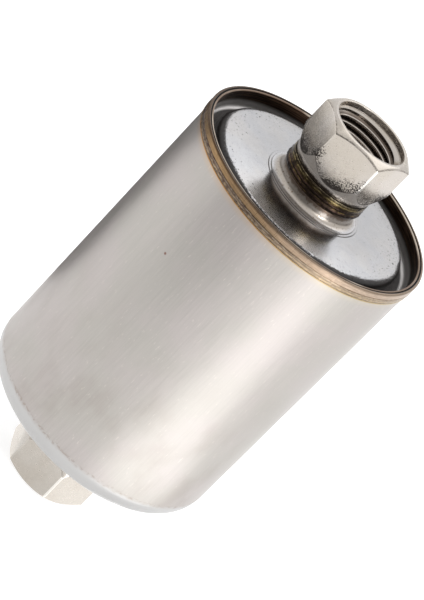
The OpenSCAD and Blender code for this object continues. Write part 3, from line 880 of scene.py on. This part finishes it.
def make_tube():
    half_a = math.pi / TUBE_COLUMNS
    half_z = (PAPER_TOP - PAPER_LOW) / TUBE_ROWS / 2
    mesh = bmesh.new()
    for row in range(TUBE_ROWS):
        middle_z = PAPER_LOW + (2 * row + 1) * half_z
        for column in range(TUBE_COLUMNS):
            cell = tube_cell(half_a * (2 * column + row % 2), middle_z, half_a, half_z)
            outer = [[(TUBE_R * math.cos(a), TUBE_R * math.sin(a), z) for a, z in ring] for ring in cell]
            inner = [[(TUBE_IN_R * math.cos(a), TUBE_IN_R * math.sin(a), z) for a, z in ring]
                     for ring in reversed(cell)]
            add_rings(mesh, outer + inner)
    ends = even_angles(6 * TUBE_COLUMNS)
    for open_z, end_z in ((PAPER_LOW, TUBE_LOW), (PAPER_TOP, TUBE_TOP)):
        walls = [(TUBE_R, open_z), (TUBE_R, end_z), (TUBE_IN_R, end_z), (TUBE_IN_R, open_z)]
        add_rings(mesh, turned_rings(walls, ends))
    finish_piece(mesh, "perforated_tube", "cartridge", ["center_tube"], TUBE_STEEL,
                 weld=0.01)


def coil_height(share):
    """Height of the wire's centre along the coil: a dead coil at each end, an even rise between."""
    dead = 1 / SPRING_TURNS
    low, high = SPRING_LOW + 2 * WIRE_R, SPRING_TOP - 2 * WIRE_R
    if share < dead:
        return low - WIRE_R * (1 - share / dead)
    if share > 1 - dead:
        return high + WIRE_R * (share - 1 + dead) / dead
    return low + (high - low) * (share - dead) / (1 - 2 * dead)


def make_spring():
    steps = round(SPRING_TURNS * 48)
    mesh = bmesh.new()
    rings = []
    for i in range(steps + 1):
        a = 2 * math.pi * SPRING_TURNS * i / steps
        end = min(i, steps - i)
        wire = WIRE_R * (1 if end > 0 else 0.9)
        rings.append([((SPRING_MEAN_R + wire * math.cos(c)) * math.cos(a),
                       (SPRING_MEAN_R + wire * math.cos(c)) * math.sin(a),
                       coil_height(i / steps) + wire * math.sin(c)) for c in even_angles(14)])
    made = add_rings(mesh, rings)
    for tip in (made[0], made[-1]):
        mesh.faces.new(tip)
    spring = finish_piece(mesh, "coil_spring", "housing", ["compression_spring"],
                          SPRING_STEEL, crease=50)
    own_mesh(spring)


def dress_node(node, material):
    """Gives a piece that is shown as the CAD made it its finish."""
    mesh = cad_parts[node].data
    mesh.materials.clear()
    mesh.materials.append(material)


def make_cartridge():
    make_caps()
    make_seal()
    make_paper()
    make_tube()
    make_spring()
    dress_node("spring_seat", CAP_STEEL)
    dress_node("pleat_seam_clip", CLIP_STEEL)


make_housing()
make_cartridge()


# ---- Studio ----

def make_camera():
    data = bpy.data.cameras.new("camera")
    data.lens = FOCAL_LENGTH
    data.sensor_width = 36
    camera = add_object("camera", data)
    back = toward(0, VIEW_ELEVATION)
    level = (-back).to_track_quat("-Z", "Y").to_matrix().to_4x4()
    turn = level @ Matrix.Rotation(math.radians(VIEW_ROLL), 4, "Z")
    right, up = turn.col[0].to_3d(), turn.col[1].to_3d()
    place = AIM + (right * CAMERA_RIGHT + up * CAMERA_UP + back * CAMERA_BACK) * MM
    camera.matrix_world = Matrix.Translation(place) @ turn
    bpy.context.scene.camera = camera


def make_light(name, width, height, power):
    """A rectangular light that the camera doesn't see."""
    data = bpy.data.lights.new(name, "AREA")
    data.shape = "RECTANGLE"
    data.size = width
    data.size_y = height
    data.energy = power
    light = add_object(name, data)
    light.visible_camera = False
    return light


def make_softbox(name, azimuth, elevation, distance, width, height, power):
    light = make_light(name, width, height, power)
    direction = toward(azimuth, elevation)
    light.location = AIM + direction * distance
    light.rotation_euler = direction.to_track_quat("Z", "Y").to_euler()


STRIP_LIFT = 0.4


def make_floor_strip(name, azimuth, near, far, width, power):
    """A light that lies on the floor facing up, running outwards from the object."""
    light = make_light(name, far - near, width, power)
    out, down = toward(azimuth, 0), Vector((0, 0, -1))
    turn = Matrix((out, down.cross(out), down)).transposed().to_4x4()
    middle = out * (near + far) / 2 + Vector((0, 0, STRIP_LIFT * MM))
    light.matrix_world = Matrix.Translation(middle) @ turn


def make_floor():
    mesh = bmesh.new()
    bmesh.ops.create_grid(mesh, x_segments=1, y_segments=1, size=6)
    data = to_data(mesh, "floor")
    floor = add_object("floor", data)
    look = Surface("floor_white", metallic=0.0, Emission_Color=(1, 1, 1, 1), Emission_Strength=0.7)
    shade = look.shade(rgb(194, 194, 194), look.noise(0.02), 0.99, 1.0)
    data.materials.append(look.done(shade, 0.9))


def make_world():
    """Even white surroundings, a little darker low down in front of the object."""
    world = bpy.data.worlds.new("studio")
    world.use_nodes = True
    nodes, links = world.node_tree.nodes, world.node_tree.links
    place = nodes.new("ShaderNodeTexCoord")
    aim = nodes.new("ShaderNodeVectorMath")
    aim.operation = "DOT_PRODUCT"
    aim.inputs[1].default_value = toward(-20, 0)
    links.new(place.outputs["Generated"], aim.inputs[0])
    ramp = nodes.new("ShaderNodeMapRange")
    ramp.interpolation_type = "SMOOTHSTEP"
    links.new(aim.outputs["Value"], ramp.inputs["Value"])
    ramp.inputs["From Min"].default_value = 0.55
    ramp.inputs["From Max"].default_value = 0.98
    ramp.inputs["To Min"].default_value = 0.95
    ramp.inputs["To Max"].default_value = 0.35
    back = nodes["Background"]
    back.inputs["Color"].default_value = (1, 1, 1, 1)
    links.new(ramp.outputs["Result"], back.inputs["Strength"])
    bpy.context.scene.world = world


def make_card(name, centre, across, up, grey):
    """A grey card by the object, reaching across and up from its centre, that shows only in
    the object's reflections."""
    mesh = bmesh.new()
    corners = ((-1, -1), (1, -1), (1, 1), (-1, 1))
    mesh.faces.new([mesh.verts.new(centre + across * a + up * u) for a, u in corners])
    data = to_data(mesh, name)
    card = add_object(name, data)
    card.visible_camera = card.visible_diffuse = card.visible_shadow = False
    look = Surface(name, metallic=0.0)
    shade = look.shade(rgb(grey, grey, grey), look.noise(0.02), 0.98, 1.0)
    data.materials.append(look.done(shade, 1.0))


def make_flag(name, azimuth, distance, width, low, high, grey):
    """A card that stands upright, facing the object."""
    out = toward(azimuth, 0)
    across = Vector((-out.y, out.x, 0)) * width / 2
    up = Vector((0, 0, (high - low) / 2))
    make_card(name, out * distance + Vector((0, 0, (high + low) / 2)), across, up, grey)


make_camera()
make_floor()
make_world()
make_softbox("key", azimuth=55, elevation=14, distance=0.45, width=0.12, height=0.3, power=0.7)
make_softbox("top", azimuth=160, elevation=60, distance=1.0, width=1.0, height=1.0, power=3)
make_floor_strip("front_strip", azimuth=55, near=0.05, far=0.3, width=0.07, power=0.066)
make_floor_strip("inlet_right_strip", azimuth=90, near=0.003, far=0.022, width=0.022, power=0.00062)
make_floor_strip("inlet_left_strip", azimuth=-150, near=-0.003, far=0.018, width=0.022, power=0.0006)
make_flag("side_flag", azimuth=-145, distance=0.075, width=0.1, low=0.0, high=0.08, grey=75)
make_flag("hex_flag", azimuth=-106, distance=0.075, width=0.05, low=0.058, high=0.08, grey=165)
make_flag("front_flag", azimuth=-28, distance=0.14, width=0.16, low=0.0, high=0.05, grey=185)
bpy.context.scene.view_settings.view_transform = "Standard"
